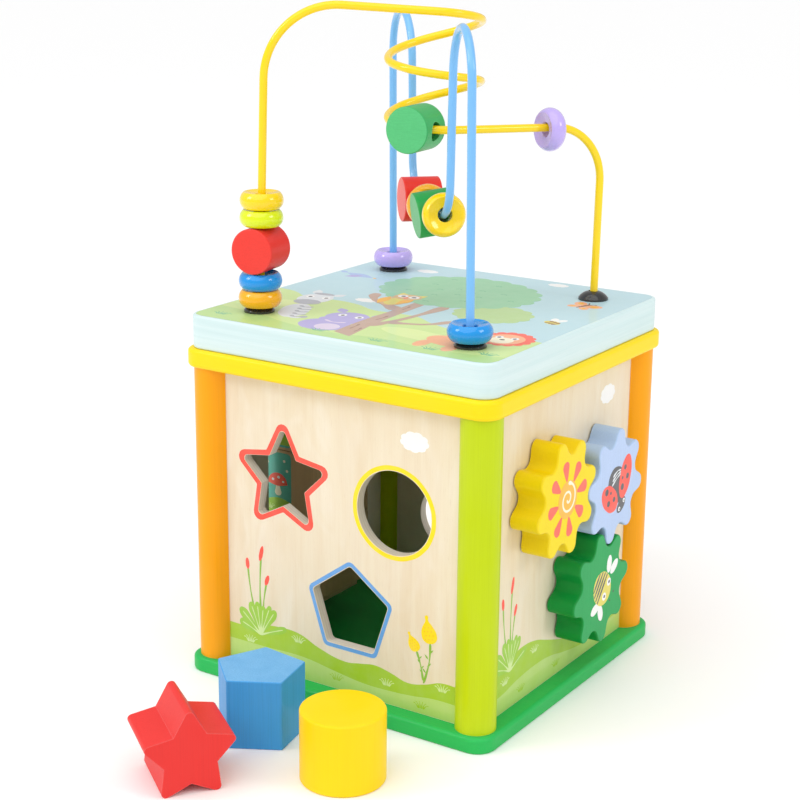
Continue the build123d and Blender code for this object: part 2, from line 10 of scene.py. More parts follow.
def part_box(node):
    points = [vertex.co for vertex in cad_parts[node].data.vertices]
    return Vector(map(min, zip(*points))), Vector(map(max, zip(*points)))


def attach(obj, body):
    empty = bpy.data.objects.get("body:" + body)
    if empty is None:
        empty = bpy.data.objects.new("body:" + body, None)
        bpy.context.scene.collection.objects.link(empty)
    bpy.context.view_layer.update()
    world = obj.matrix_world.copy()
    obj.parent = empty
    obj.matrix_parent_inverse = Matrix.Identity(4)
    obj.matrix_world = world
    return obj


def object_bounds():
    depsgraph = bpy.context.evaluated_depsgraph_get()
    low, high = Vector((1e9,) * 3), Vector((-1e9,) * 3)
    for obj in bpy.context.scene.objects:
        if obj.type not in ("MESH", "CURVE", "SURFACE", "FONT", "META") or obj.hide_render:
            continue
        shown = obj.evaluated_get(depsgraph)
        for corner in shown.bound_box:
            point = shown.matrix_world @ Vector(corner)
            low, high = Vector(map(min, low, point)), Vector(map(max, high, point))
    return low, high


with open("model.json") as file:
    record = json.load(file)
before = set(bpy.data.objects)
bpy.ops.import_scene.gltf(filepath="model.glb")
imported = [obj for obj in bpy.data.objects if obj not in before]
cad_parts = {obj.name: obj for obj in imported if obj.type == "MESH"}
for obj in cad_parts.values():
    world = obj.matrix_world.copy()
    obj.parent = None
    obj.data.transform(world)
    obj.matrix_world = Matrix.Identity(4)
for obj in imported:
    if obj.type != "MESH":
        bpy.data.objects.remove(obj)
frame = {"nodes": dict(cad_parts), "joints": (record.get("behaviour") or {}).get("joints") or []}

cad_box = [list(corner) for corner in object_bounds()]
MM = 0.001  # drawings and grain are in millimetres, the frame is in metres
scene = bpy.context.scene


# ---- shader helpers ----
def srgb(red, green, blue):
    """A paint-chart colour, 0 to 255 a channel, as linear light."""
    channels = [value / 255 for value in (red, green, blue)]
    return tuple(c / 12.92 if c <= 0.04045 else ((c + 0.055) / 1.055) ** 2.4 for c in channels)


class Reading:
    """A value that varies over a surface; sums with it add Math nodes."""

    def __init__(self, nodes, socket):
        self.nodes = nodes
        self.socket = socket

    def __add__(self, other):
        return self.nodes.maths("ADD", self, other)

    __radd__ = __add__

    def __rsub__(self, other):
        return self.nodes.maths("SUBTRACT", other, self)

    def __mul__(self, other):
        return self.nodes.maths("MULTIPLY", self, other)

    __rmul__ = __mul__

    def __truediv__(self, other):
        return self.nodes.maths("DIVIDE", self, other)

    def __abs__(self):
        return self.nodes.maths("ABSOLUTE", self)


class Nodes:
    """A node tree, and what is made in it."""

    def __init__(self, tree):
        self.tree = tree

    def feed(self, made, inputs):
        """Link or set a node's inputs, given by name or number."""
        for name, value in inputs.items():
            if isinstance(value, Reading):
                self.tree.links.new(value.socket, made.inputs[name])
            elif isinstance(value, tuple) and made.inputs[name].type == "RGBA":
                made.inputs[name].default_value = (*value, 1)
            else:
                made.inputs[name].default_value = value

    def node(self, kind, settings=None, inputs=None, output=0):
        """A new node with its settings, then its inputs; gives one of its outputs."""
        made = self.tree.nodes.new(kind)
        for name, value in (settings or {}).items():
            if name == "stops":
                while len(made.color_ramp.elements) < len(value):
                    made.color_ramp.elements.new(1)
                for element, (position, level) in zip(made.color_ramp.elements, value):
                    element.position = position
                    element.color = (level, level, level, 1)
            else:
                setattr(made, name, value)
        self.feed(made, inputs or {})
        return Reading(self, made.outputs[output])

    def maths(self, operation, *values):
        """A sum with readings or numbers."""
        return self.node("ShaderNodeMath", {"operation": operation}, dict(enumerate(values)))


class Paint(Nodes):
    """One material: its shader and the nodes that feed it."""

    def __init__(self, name, constants):
        self.material = bpy.data.materials.new(name)
        self.material.use_nodes = True
        super().__init__(self.material.node_tree)
        self.shader = self.tree.nodes["Principled BSDF"]
        self.feed(self.shader, constants)
        self.place = self.node("ShaderNodeTexCoord", output="Object")

    def mix(self, share, first, second):
        """A colour between two colours; the numbers are the Mix node's colour sockets."""
        return self.node("ShaderNodeMix", {"data_type": "RGBA"}, {0: share, 6: first, 7: second}, 2)

    def dot(self, one, other):
        """How well two directions agree, from -1 to 1."""
        return self.node("ShaderNodeVectorMath", {"operation": "DOT_PRODUCT"}, {0: one, 1: other}, "Value")

    def noise(self, pitch, detail=2.0, rough=0.5, twist=0.0, shift=(0, 0, 0)):
        """Soft noise from 0 to 1 whose marks are about pitch millimetres long along x, y and z."""
        scale = tuple(1 / (MM * length) for length in pitch)
        where = self.node("ShaderNodeMapping", {}, {"Vector": self.place, "Scale": scale, "Location": shift})
        marks = {"Vector": where, "Scale": 1.0, "Detail": detail, "Roughness": rough, "Distortion": twist}
        return self.node("ShaderNodeTexNoise", {}, marks)

    def rise(self, value, low, high):
        """0 up to low, 1 from high on, and a straight climb between them."""
        return self.node("ShaderNodeValToRGB", {"stops": ((low, 0.0), (high, 1.0))}, {"Fac": value})

    def axis(self, letter):
        """How far along x, y or z a point lies, in metres."""
        return self.node("ShaderNodeSeparateXYZ", {}, {0: self.place}, letter)

    def edges(self, reach):
        """Near 1 along each sharp edge of a piece, within reach millimetres, and 0 on its faces: the mask
        that paints each edge paler, partly as thinner paint and partly as a painted highlight.
        """
        soft = self.node("ShaderNodeBevel", {"samples": 4}, {"Radius": reach * MM})
        straight = self.node("ShaderNodeNewGeometry", output="Normal")
        return self.rise(1 - self.dot(soft, straight), 0.0, 0.12)

    def finish(self, colour, roughness, height=None, depth=0.0):
        """Feed the shader; height is a relief from 0 to 1 that is depth millimetres deep."""
        self.feed(self.shader, {"Base Color": colour, "Roughness": roughness})
        if height is not None:
            relief = {"Height": height, "Distance": depth * MM, "Strength": 1.0}
            self.feed(self.shader, {"Normal": self.node("ShaderNodeBump", {}, relief)})
        return self.material


def darker(colour, share):
    """A colour with that share of its light."""
    return tuple(channel * share for channel in colour)


def paler(colour, share):
    """A colour with that share of white mixed in."""
    return tuple(channel + (1 - channel) * share for channel in colour)


# ---- finishes ----
# How long the marks of a grain are along x, y and z, by the axis that it runs along.
FIBRE = {"x": (46, 0.55, 0.55), "y": (0.55, 46, 0.55), "z": (0.55, 0.55, 46)}
FIGURE = {"x": (90, 9, 9), "y": (9, 90, 9), "z": (9, 9, 90)}


def painted_wood(name, colour, grain="z", gloss=0.34, grain_show=0.07, ends=None, facing=(0, 0, 1)):
    """Sprayed lacquer over wood: the fibres telegraph through, and each edge is painted a little pale,
    partly as thinner paint and partly as a painted highlight.

    A colour given as ends goes on the flat ends, which face along facing, with their end grain. On the blue
    pentagon block the paler ends are painted light: its top is painted lighter, as if lit from above.
    """
    paint = Paint(name, {"Coat Weight": 0.14, "Coat Roughness": 0.12, "Specular IOR Level": 0.12})
    fibres = paint.noise(FIBRE[grain], detail=3.0, rough=0.6)
    figure = paint.noise(FIGURE[grain], detail=2.0, twist=0.6)
    cloudy = paint.noise((34, 34, 34), detail=2.0, shift=(3, 7, 1))
    body = colour
    if ends is not None:
        outward = paint.node("ShaderNodeTexCoord", output="Normal")
        square_on = abs(paint.dot(outward, facing))
        end_grain = paint.noise((0.7, 0.7, 0.7), detail=3.0)
        end_paint = paint.mix(paint.rise(end_grain, 0.35, 0.7) * 0.3, ends, darker(ends, 0.8))
        body = paint.mix(paint.rise(square_on, 0.86, 0.93), colour, end_paint)
    shade = paint.mix(paint.rise(fibres, 0.42, 0.75) * grain_show * 3, body, darker(colour, 0.72))
    shade = paint.mix(paint.rise(figure, 0.35, 0.8) * grain_show * 1.6, shade, darker(colour, 0.8))
    shade = paint.mix(paint.rise(cloudy, 0.3, 0.85) * 0.12, shade, paler(colour, 0.12))
    # Each sharp edge is mixed towards a paler colour: partly thinner paint, partly a painted highlight.
    shade = paint.mix(paint.edges(0.7) * 0.22, shade, paler(colour, 0.4))
    roughness = gloss + 0.12 * fibres + 0.06 * cloudy
    return paint.finish(shade, roughness, fibres * 0.6 + figure * 0.4, 0.05)


def lacquered_bead(name, colour):
    """Thick glossy dip lacquer on a turned bead."""
    paint = Paint(name, {"Coat Weight": 1.0, "Coat Roughness": 0.1, "Specular IOR Level": 0.15})
    cloudy = paint.noise((9, 9, 9), detail=3.0)
    fine = paint.noise((0.9, 0.9, 0.9), detail=2.0)
    shade = paint.mix(paint.rise(cloudy, 0.3, 0.8) * 0.22, colour, darker(colour, 0.84))
    # The bead's sharp rims are mixed paler: partly thinner lacquer, partly a painted highlight.
    shade = paint.mix(paint.edges(0.5) * 0.15, shade, paler(colour, 0.5))
    return paint.finish(shade, 0.22 + 0.1 * fine, cloudy * 0.7 + fine * 0.3, 0.03)


def birch(name, depth_axis, face_at):
    """Clear-coated birch plywood: upright grain on the faces, thin plies where a hole cuts through."""
    paint = Paint(name, {"Coat Weight": 0.1, "Coat Roughness": 0.22, "Specular IOR Level": 0.25})
    pale = srgb(236, 223, 197)
    tan = srgb(220, 194, 154)
    ply_thickness = 0.9 * MM
    fibres = paint.noise((0.7, 0.7, 30), detail=4.0, rough=0.65)
    figure = paint.noise((13, 13, 95), detail=3.0, twist=1.2)
    flame = paint.noise((26, 26, 60), detail=2.0, twist=2.2, shift=(5, 2, 9))
    pores = paint.noise((0.45, 0.45, 4.5), detail=1.0, shift=(9, 1, 4))
    shade = paint.mix(paint.rise(figure, 0.4, 0.78) * 0.38, pale, tan)
    shade = paint.mix(paint.rise(flame, 0.45, 0.7) * 0.25, shade, paler(pale, 0.5))
    shade = paint.mix(paint.rise(fibres, 0.45, 0.8) * 0.13, shade, srgb(206, 176, 134))
    shade = paint.mix(paint.rise(pores, 0.66, 0.76) * 0.16, shade, srgb(178, 142, 98))
    ply = (face_at - abs(paint.axis(depth_axis))) / ply_thickness
    cross = paint.rise(paint.maths("PINGPONG", ply, 1.0), 0.44, 0.56)
    inside = paint.rise(ply, 0.3, 0.45)
    shade = paint.mix(inside * 0.6, shade, srgb(232, 226, 216))
    shade = paint.mix(cross * inside * 0.3, shade, srgb(206, 192, 170))
    return paint.finish(shade, 0.42 + 0.16 * fibres, fibres * 0.5 + figure * 0.2 + pores * 0.3, 0.06)


def printed_ink(name, colour):
    """Print on the wood under clear lacquer: the grain shows faintly through the ink."""
    paint = Paint(name, {"Coat Weight": 0.45, "Coat Roughness": 0.08, "Specular IOR Level": 0.15})
    strength = 0.16
    fibres = paint.noise((0.7, 0.7, 24), detail=4.0, rough=0.65)
    cloudy = paint.noise((7, 7, 7), detail=3.0)
    shade = paint.mix(paint.rise(fibres, 0.42, 0.8) * strength, colour, darker(colour, 0.78))
    shade = paint.mix(paint.rise(cloudy, 0.35, 0.8) * strength, shade, paler(colour, 0.3))
    return paint.finish(shade, 0.4 + 0.14 * fibres, fibres, 0.012)


def brushed_lid(name, colour):
    """Pale lacquer on the lid, with the level strokes of the brush showing round its sides."""
    paint = Paint(name, {"Coat Weight": 0.12, "Coat Roughness": 0.18, "Specular IOR Level": 0.25})
    strokes = paint.noise((55, 55, 0.5), detail=4.0, rough=0.65)
    bands = paint.noise((120, 120, 2.4), detail=2.0, shift=(2, 5, 3))
    shade = paint.mix(paint.rise(strokes, 0.4, 0.75) * 0.3, colour, darker(colour, 0.82))
    shade = paint.mix(paint.rise(bands, 0.4, 0.7) * 0.35, shade, paler(colour, 0.45))
    # Each sharp edge of the lid is mixed paler: partly thinner paint, partly a painted highlight.
    shade = paint.mix(paint.edges(0.9) * 0.4, shade, paler(colour, 0.6))
    return paint.finish(shade, 0.36 + 0.16 * strokes, strokes * 0.7 + bands * 0.3, 0.07)


def coated_wire(name, colour):
    """Smooth powder coat on steel wire."""
    paint = Paint(name, {"Coat Weight": 0.8, "Coat Roughness": 0.07, "Specular IOR Level": 0.15})
    cloudy = paint.noise((12, 12, 12), detail=2.0)
    peel = paint.noise((0.7, 0.7, 0.7), detail=2.0)
    shade = paint.mix(paint.rise(cloudy, 0.3, 0.8) * 0.18, colour, darker(colour, 0.86))
    return paint.finish(shade, 0.24 + 0.1 * peel, peel, 0.03)


def moulded(name, colour, gloss):
    """Injection-moulded plastic with faint flow marks."""
    paint = Paint(name, {"Coat Weight": 0.4, "Coat Roughness": 0.08, "Specular IOR Level": 0.5})
    flow = paint.noise((6, 6, 3), detail=3.0, twist=1.0)
    grit = paint.noise((0.5, 0.5, 0.5), detail=2.0)
    shade = paint.mix(paint.rise(flow, 0.3, 0.8) * 0.4, colour, paler(colour, 0.06))
    return paint.finish(shade, gloss + 0.12 * grit, grit, 0.02)


def bare_wood(name, grain, tint=(226, 200, 160)):
    """Sanded wood without a finish."""
    paint = Paint(name, {"Specular IOR Level": 0.3})
    light = srgb(*tint)
    fibres = paint.noise(FIBRE[grain], detail=4.0, rough=0.65)
    figure = paint.noise(FIGURE[grain], detail=2.0, twist=1.0)
    shade = paint.mix(paint.rise(figure, 0.35, 0.75) * 0.45, light, darker(light, 0.72))
    shade = paint.mix(paint.rise(fibres, 0.45, 0.8) * 0.35, shade, darker(light, 0.6))
    return paint.finish(shade, 0.62 + 0.2 * fibres, fibres, 0.08)


def plated_steel(name):
    """Zinc-plated steel with fine turning marks."""
    paint = Paint(name, {"Metallic": 1.0, "Specular IOR Level": 0.5})
    marks = paint.noise((2.5, 2.5, 0.2), detail=3.0)
    cloudy = paint.noise((3, 3, 3), detail=2.0)
    shade = paint.mix(paint.rise(cloudy, 0.3, 0.8), srgb(196, 198, 202), srgb(168, 170, 176))
    return paint.finish(shade, 0.28 + 0.22 * marks, marks, 0.02)


def dress(material, *nodes):
    """Give CAD nodes their finish."""
    for node in nodes:
        slots = frame["nodes"][node].data.materials
        slots.clear()
        slots.append(material)


def flat_end(node):
    """The direction that most of a turned piece's flat surface faces."""
    facing = {}
    for face in frame["nodes"][node].data.polygons:
        direction = tuple(round(part, 2) for part in face.normal)
        facing[direction] = facing.get(direction, 0) + face.area
    return max(facing, key=facing.get)


orange = srgb(253, 166, 0)
lime = srgb(194, 214, 0)
yellow = srgb(252, 220, 0)
red = srgb(232, 56, 50)
mint = srgb(207, 229, 229)

dress(painted_wood("green_board", srgb(38, 184, 88), "x"), "base_board")
dress(painted_wood("orange_post", orange, "z", 0.3), "post_front_left", "post_back_right")
dress(painted_wood("lime_post", lime, "z", 0.3), "post_front_right", "post_back_left")
dress(painted_wood("yellow_frame", yellow, "x", 0.3), "top_frame")
dress(brushed_lid("mint_lid", mint), "lid_board")

panel_face = abs(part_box("front_panel")[0].y)
dress(birch("birch_front_back", "Y", panel_face), "front_panel", "back_panel")
dress(birch("birch_sides", "X", panel_face), "right_panel", "left_panel")

for gear, side_colour, face_colour in (
    ("yellow_gear", (240, 210, 0), (250, 224, 0)),
    ("blue_gear", (172, 198, 234), (190, 210, 244)),
    ("green_gear", (0, 142, 56), (36, 170, 92)),
):
    dress(painted_wood(gear, srgb(*side_colour), ends=srgb(*face_colour), facing=(1, 0, 0)), gear)
picture_blocks = [f"picture_block_{level}" for level in ("bottom", "middle", "top")]
dress(bare_wood("block_wood", "z", (214, 184, 138)), *picture_blocks)
dress(painted_wood("red_knob", red, "y", 0.28), "slide_knob")

dress(lacquered_bead("yellow_lacquer", srgb(255, 216, 0)), "stack_yellow_disc", "dip_yellow_disc")
dress(lacquered_bead("lime_lacquer", srgb(222, 238, 0)), "stack_lime_disc")
dress(lacquered_bead("blue_lacquer", srgb(0, 146, 228)), "stack_blue_disc", "front_blue_disc")
dress(lacquered_bead("orange_lacquer", srgb(255, 180, 0)), "stack_orange_disc", "dip_orange_disc")
dress(lacquered_bead("purple_lacquer", srgb(192, 172, 240)), "back_purple_disc", "run_purple_disc")
for barrel, side_colour, end_colour in (
    ("stack_red_barrel", (234, 54, 46), (240, 64, 54)),
    ("dip_red_barrel", (234, 54, 46), (244, 108, 100)),
    ("coil_green_barrel", (62, 176, 98), (92, 196, 126)),
    ("dip_green_barrel", (46, 164, 82), (92, 190, 122)),
):
    sides, ends = srgb(*side_colour), srgb(*end_colour)
    dress(painted_wood(f"{barrel}_lacquer", sides, "x", 0.32, 0.06, ends, flat_end(barrel)), barrel)

dress(painted_wood("red_block", srgb(230, 54, 50), "z", 0.4, 0.07), "star_block")
# The pentagon block's top, and its hidden bottom, are painted paler than its sides. This is a painted
# highlight for light falling on the top, over mottled end grain.
blue_block_painted_top_light = painted_wood("blue_block_painted_top_light", srgb(64, 158, 226), "z", 0.42, 0.16, ends=srgb(118, 184, 234))
dress(blue_block_painted_top_light, "pentagon_block")
dress(painted_wood("yellow_block", srgb(254, 214, 0), "z", 0.4, 0.06), "cylinder_block")

dress(coated_wire("yellow_coat", srgb(255, 216, 0)), "yellow_wire")
dress(coated_wire("blue_coat", srgb(120, 186, 240)), "blue_wire")
dress(moulded("black_cap", srgb(26, 25, 26), 0.12), "wire_caps")
dress(bare_wood("turned_peg", "x"), "gear_pegs", "gear_washers")
dress(bare_wood("sawn_rail", "y"), "rod_rail_lower", "rod_rail_upper", "rod_washers")
dress(bare_wood("keeper_wood", "z"), "knob_keeper")
dress(bare_wood("plug_wood", "x", (232, 212, 176)), "lid_plug")
dress(plated_steel("plated_steel"), "base_screws", "frame_screws", "lid_screws", "block_rod")


# ---- flat shapes for the printed pictures ----
# A shape is a list of points in millimetres; a third value of True makes that point a sharp corner.
def oval(x, y, wide, high, turn=0.0, knots=8):
    """An oval about (x, y); wide lies along the direction turn, in degrees."""
    lean = radians(turn)
    points = []
    for step in range(knots):
        along = wide / 2 * cos(tau * step / knots)
        aside = high / 2 * sin(tau * step / knots)
        points.append((x + along * cos(lean) - aside * sin(lean), y + along * sin(lean) + aside * cos(lean)))
    return points


def corners(left, low, right, high):
    """The corners of an upright rectangle."""
    return [(left, low), (right, low), (right, high), (left, high)]


def star(x, y, reach, notch):
    """Corners of a five-pointed star; notch is how far its inner corners lie from its centre."""
    reaches = [(notch if step % 2 else reach, radians(90 + 36 * step)) for step in range(10)]
    return [(x + far * cos(angle), y + far * sin(angle)) for far, angle in reaches]


def pentagon(x, y, reach):
    """Corners of a pentagon that stands on one side."""
    angles = [radians(90 + 72 * step) for step in range(5)]
    return [(x + reach * cos(angle), y + reach * sin(angle)) for angle in angles]


def stroke(points, width, end_width=None):
    """The outline of a line drawn with a brush that may thin out towards its end."""
    end_width = width if end_width is None else end_width
    left, right = [], []
    for step, (x, y) in enumerate(points):
        before = points[max(step - 1, 0)]
        after = points[min(step + 1, len(points) - 1)]
        run = hypot(after[0] - before[0], after[1] - before[1])
        half = (width + (end_width - width) * step / (len(points) - 1)) / 2
        across = (-(after[1] - before[1]) / run * half, (after[0] - before[0]) / run * half)
        left.append((x + across[0], y + across[1]))
        right.append((x - across[0], y - across[1]))
    return left + right[::-1]


def coil(turn_step, start, steps):
    """Points along a coil that opens out; the angles are in radians."""
    points = []
    for step in range(2, steps):
        reach, angle = 0.36 * step, turn_step * step + start
        points.append((reach * cos(angle), reach * sin(angle)))
    return points


def bowed(start, end, width, end_width=None, bow=(0, 0)):
    """A brush line from start to end whose middle is pushed aside by bow."""
    bend = ((start[0] + end[0]) / 2 + bow[0], (start[1] + end[1]) / 2 + bow[1])
    return stroke([start, bend, end], width, end_width)


def leaf(base, tip, width):
    """A leaf that is pointed at both ends and widest a little below its middle."""
    dx, dy = tip[0] - base[0], tip[1] - base[1]
    length = hypot(dx, dy)
    middle = (base[0] + dx * 0.45, base[1] + dy * 0.45)
    side = (-dy / length * width / 2, dx / length * width / 2)
    return [
        (*base, True),
        (middle[0] + side[0], middle[1] + side[1]),
        (*tip, True),
        (middle[0] - side[0], middle[1] - side[1]),
    ]


def blade(base, tip, width):
    """A leaf that widens from its foot to a blunt rounded end."""
    dx, dy = tip[0] - base[0], tip[1] - base[1]
    length = hypot(dx, dy)
    side = (-dy / length * width / 2, dx / length * width / 2)
    waist, shoulder, slim = 0.55, 0.86, 0.85
    return [
        (*base, True),
        (base[0] + dx * waist + side[0] * slim, base[1] + dy * waist + side[1] * slim),
        (base[0] + dx * shoulder + side[0], base[1] + dy * shoulder + side[1]),
        tip,
        (base[0] + dx * shoulder - side[0], base[1] + dy * shoulder - side[1]),
        (base[0] + dx * waist - side[0] * slim, base[1] + dy * waist - side[1] * slim),
    ]


def scallops(x, y, wide, high, bumps, depth, turn=0.0):
    """A rounded cloud of bumps, as for a tree crown, a mane or a cloud."""
    points = []
    for step in range(bumps):
        for share, reach in ((0.0, 1 - depth), (0.3, 1.0), (0.7, 1.0)):
            angle = radians(turn) + tau * (step + share) / bumps
            far = reach / 2
            points.append((x + wide * far * cos(angle), y + high * far * sin(angle), share == 0.0))
    return points


def rounded(polygon, *radii):
    """A polygon whose corners are arcs; the radii are used in turn."""
    points = []
    arc_steps = 5
    for step, corner in enumerate(polygon):
        here = Vector(corner)
        radius = radii[step % len(radii)]
        back = (Vector(polygon[step - 1]) - here).normalized()
        ahead = (Vector(polygon[(step + 1) % len(polygon)]) - here).normalized()
        half = back.angle(ahead) / 2
        centre = here + (back + ahead).normalized() * radius / sin(half)
        start = here + back * radius * cos(half) / sin(half) - centre
        way = 1 if start.y * back.x - start.x * back.y > 0 else -1
        for bit in range(arc_steps + 1):
            turned = way * (pi - 2 * half) * bit / arc_steps
            x = centre.x + start.x * cos(turned) - start.y * sin(turned)
            y = centre.y + start.x * sin(turned) + start.y * cos(turned)
            points.append((x, y, True))
    return points


def hill(ridge, floor):
    """Ground under a smooth ridge line, cut straight at its ends and along the floor."""
    first, last = ridge[0], ridge[-1]
    return [(*first, True), *ridge[1:-1], (*last, True), (last[0], floor, True), (first[0], floor, True)]


def moved(outline, x, y, turn=0.0, size=1.0):
    """A shape drawn about the origin, turned, sized and put in its place."""
    aside, along = sin(radians(turn)) * size, cos(radians(turn)) * size
    return [
        (x + point[0] * along - point[1] * aside, y + point[0] * aside + point[1] * along, *point[2:])
        for point in outline
    ]


def plate(outlines, thickness):
    """A thin closed plate in millimetres; an outline that lies inside another cuts a hole."""
    curve = bpy.data.curves.new("outline", "CURVE")
    curve.dimensions = "2D"
    curve.fill_mode = "BOTH"
    curve.extrude = thickness / 2
    curve.resolution_u = 5
    for outline in outlines:
        spline = curve.splines.new("BEZIER")
        spline.bezier_points.add(len(outline) - 1)
        spline.use_cyclic_u = True
        for knot, point in zip(spline.bezier_points, outline):
            knot.co = (point[0], point[1], 0)
            handle = "VECTOR" if len(point) > 2 and point[2] else "AUTO"
            knot.handle_left_type = handle
            knot.handle_right_type = handle
    holder = bpy.data.objects.new("outline", curve)
    mesh = bpy.data.meshes.new_from_object(holder)
    bpy.data.objects.remove(holder)
    bpy.data.curves.remove(curve)
    return mesh


INK = {
    name: printed_ink("ink_" + name, srgb(*colour))
    for name, colour in {
        "red": (255, 84, 66),
        "coral": (250, 100, 78),
        "yellow": (255, 224, 8),
        "amber": (250, 184, 48),
        "cream": (252, 244, 214),
        "blue": (104, 164, 226),
        "white": (246, 246, 244),
        "meadow": (168, 204, 44),
        "meadow_light": (190, 218, 118),
        "meadow_pale": (214, 234, 160),
        "leaf": (158, 204, 62),
        "stem": (140, 190, 60),
        "sky": (188, 220, 228),
        "crown": (152, 208, 164),
        "crown_light": (184, 214, 146),
        "crown_mark": (128, 192, 146),
        "bark": (196, 164, 146),
        "bark_dark": (164, 132, 116),
        "charcoal": (84, 84, 88),
        "grey": (176, 178, 186),
        "silver": (224, 228, 232),
        "lilac": (180, 170, 222),
        "lilac_pale": (222, 208, 232),
        "straw": (230, 216, 96),
        "tan": (222, 184, 128),
        "peach": (250, 178, 134),
        "bluebird": (170, 192, 232),
        "teal": (96, 190, 172),
        "pink": (236, 176, 172),
        "brown": (150, 104, 72),
        "lid_meadow": (206, 230, 150),
        "lid_hollow": (188, 222, 142),
        "lid_glow": (222, 238, 160),
    }.items()
}

FIRST_LAYER = 0.02  # thickness of the lowest ink, in millimetres
LAYER_STEP = 0.012
FINE_STEP = 0.0007  # keeps plates of one layer out of one plane where they overlap
FINE_STEPS = 16
INK_GAP = 0.004  # between the wood and the ink


class Print:
    """A printed picture: thin plates of ink, one layer over another, on one face of a piece."""

    def __init__(self, name, across, up, out, origin):
        """across, up and out are the face's directions; origin is where its (0, 0) lies, in metres."""
        self.name = name
        self.turn = Matrix((across, up, out)).transposed().to_4x4()
        self.turn.translation = origin
        self.shapes = bmesh.new()
        self.inks = []
        self.count = 0

    def draw(self, ink, layer, *outlines, at=None):
        """Outlines of one ink, put at a place, turn and size; higher layers stand a little prouder."""
        if ink not in self.inks:
            self.inks.append(ink)
        if at is not None:
            outlines = [moved(outline, *at) for outline in outlines]
        self.count += 1
        thickness = FIRST_LAYER + LAYER_STEP * layer + FINE_STEP * (self.count % FINE_STEPS)
        mesh = plate(outlines, thickness)
        lift = Matrix.Translation((0, 0, INK_GAP + thickness / 2))
        shape = bmesh.new()
        shape.from_mesh(mesh)
        bmesh.ops.remove_doubles(shape, verts=shape.verts, dist=0.001)
        bmesh.ops.transform(shape, matrix=self.turn @ Matrix.Scale(MM, 4) @ lift, verts=shape.verts)
        for flat in shape.faces:
            flat.material_index = self.inks.index(ink)
        shape.to_mesh(mesh)
        shape.free()
        self.shapes.from_mesh(mesh)
        bpy.data.meshes.remove(mesh)

    def eye(self, layer, place, white, pupil, look, step=1):
        """A white oval with a dark pupil, which lies off its middle by look."""
        self.draw("white", layer, oval(*place, *white))
        self.draw("charcoal", layer + step, oval(place[0] + look[0], place[1] + look[1], *pupil))

    def done(self, body, slot):
        """Make the piece, and let it ride on its body."""
        bmesh.ops.recalc_face_normals(self.shapes, faces=self.shapes.faces)
        mesh = bpy.data.meshes.new(self.name)
        self.shapes.to_mesh(mesh)
        self.shapes.free()
        for ink in self.inks:
            mesh.materials.append(INK[ink])
        piece = bpy.data.objects.new(self.name, mesh)
        scene.collection.objects.link(piece)
        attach(piece, body)


# ---- meadow pictures on the panels ----
floor_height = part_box("front_panel")[0].z / MM + 0.2
meadow_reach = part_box("post_front_right")[0].x / MM + 1.6


def face(name, node, out):
    """A print on the outward face of a panel, drawn upright as seen from outside."""
    low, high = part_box(node)
    out = Vector(out)
    level = max(abs(low.dot(out)), abs(high.dot(out)))
    return Print(name, (-out.y, out.x, 0), (0, 0, 1), out, out * level)


def bulrush(print_, x, y):
    """A clump of broad leaves with three bulrushes standing in it."""
    for reach, rise, length, lean in ((-8.1, 37.3, 6.0, 5), (0.7, 44.4, 8.5, -13), (4.2, 30.6, 6.0, -19)):
        head = (x + reach, y + rise)
        print_.draw("stem", 2, bowed((x + reach * 0.35, y + 8), head, 0.75, 0.5, (-0.8, 0)))
        print_.draw("red", 4, oval(*head, 2.3, length, lean))
    leaves = ((-6.6, 16.6, 4.6), (9.4, 15.2, 4.4), (-13.4, 12.0, 5.0), (1.6, 16.0, 4.4), (-13.6, 5.2, 4.8))
    leaves += ((16.2, 6.8, 3.6), (-2.4, 17.6, 3.6), (6.0, 17.0, 3.4))
    for number, (reach, rise, width) in enumerate(leaves):
        print_.draw("leaf", 3 + number % 3, blade((x, y), (x + reach, y + rise), width))
        vein_end = (x + reach * 0.86, y + rise * 0.86)
        print_.draw("meadow_pale", 6, bowed((x, y), vein_end, 0.5, 0.25, (0, 0.2)))


def tuft(print_, x, y, size=1.0, ink="meadow_pale", layer=7):
    """A tuft of grass: a fan of short curved strokes."""
    for number in range(6):
        lean = radians(160 - number * 28)
        near = (x + 1.6 * size * cos(lean), y)
        far = (x + 4.6 * size * cos(lean), y + (1.6 + 2.2 * sin(lean)) * size)
        bend = (x + 3.4 * size * cos(lean), y + (1.4 + 1.9 * sin(lean)) * size)
        print_.draw(ink, layer, stroke([near, bend, far], 0.3 * size, 0.22 * size))


def tufts(print_, *places, **looks):
    """Tufts of grass here and there."""
    for place in places:
        tuft(print_, *place, **looks)


